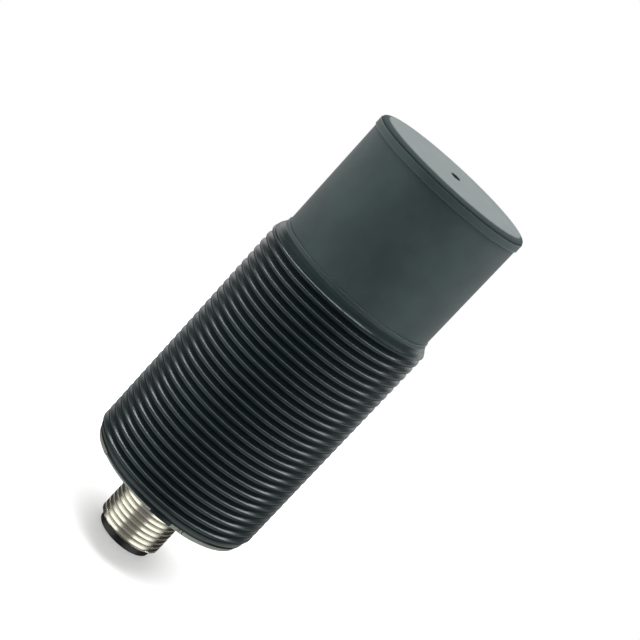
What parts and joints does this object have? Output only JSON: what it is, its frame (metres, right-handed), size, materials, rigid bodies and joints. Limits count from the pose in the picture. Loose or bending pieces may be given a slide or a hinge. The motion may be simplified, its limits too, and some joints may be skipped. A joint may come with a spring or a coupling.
{
  "type": "capacitive proximity sensor",
  "caption": "Cylindrical capacitive proximity sensor with a smooth plastic sensing cap, a threaded plastic barrel and a round threaded plug connector at the rear.",
  "frame": {"origin": "centre of the flat sensing face, on the axis of the barrel", "axes": "+Z along the axis, out of the sensing face; +Y towards the sensitivity adjuster and the key of the plug; +X completes the frame"},
  "size_m": [0.0318, 0.0318, 0.0814],
  "materials": {
    "cap_plastic": "smooth moulded black plastic, satin",
    "barrel_plastic": "moulded black plastic, satin",
    "clear_plastic": "pale translucent plastic",
    "nickel": "bright nickel plating over brass",
    "carrier_plastic": "black plastic, satin",
    "gold": "gold plating over brass",
    "seal_rubber": "black rubber",
    "electrode_brass": "bare stamped brass",
    "ivory_plastic": "natural moulded plastic",
    "shield_metal": "tinned drawn brass",
    "insulator": "amber insulating sheet",
    "lead_metal": "tinned wire",
    "board": "glass-fibre laminate with green solder mask",
    "support_plastic": "dark grey moulded plastic",
    "chip_plastic": "moulded chip package",
    "ceramic": "tan ceramic",
    "lamp_yellow": "tinted clear resin",
    "lamp_green": "tinted clear resin",
    "trimmer_case": "blue moulded plastic",
    "screw_brass": "turned brass"
  },
  "bodies": {
    "housing": {"front_cap": "cap_plastic", "threaded_barrel": "barrel_plastic", "rear_cap": "clear_plastic", "connector_shell": "nickel", "contact_carrier": "carrier_plastic", "contact_pin_1": "gold", "contact_pin_2": "gold", "contact_pin_3": "gold", "contact_pin_4": "gold", "cap_seal": "seal_rubber", "rear_seal": "seal_rubber", "connector_seal": "seal_rubber", "trimmer_seal": "seal_rubber", "sensing_electrode": "electrode_brass", "guard_electrode": "electrode_brass", "electrode_carrier": "ivory_plastic", "shield_cup": "shield_metal", "shield_insulator": "insulator", "electrode_lead": "lead_metal", "guard_lead": "lead_metal", "circuit_board": "board", "connector_board": "board", "board_support_front": "support_plastic", "board_support_rear": "support_plastic", "oscillator_chip": "chip_plastic", "comparator_chip": "chip_plastic", "voltage_regulator": "chip_plastic", "output_transistor": "chip_plastic", "protection_diodes": "chip_plastic", "resistors": "chip_plastic", "filter_choke": "chip_plastic", "capacitors": "ceramic", "output_led": "lamp_yellow", "power_led": "lamp_green", "trimmer_body": "trimmer_case"},
    "trimmer": {"trimmer_screw": "screw_brass"}
  },
  "joints": [
    {"name": "trimmer_turn", "type": "hinge", "parent": "housing", "child": "trimmer", "pos_m": [0, 0.00994, -0.0662], "axis": [0, 0, -1], "range_deg": [-135, 135]}
  ]
}
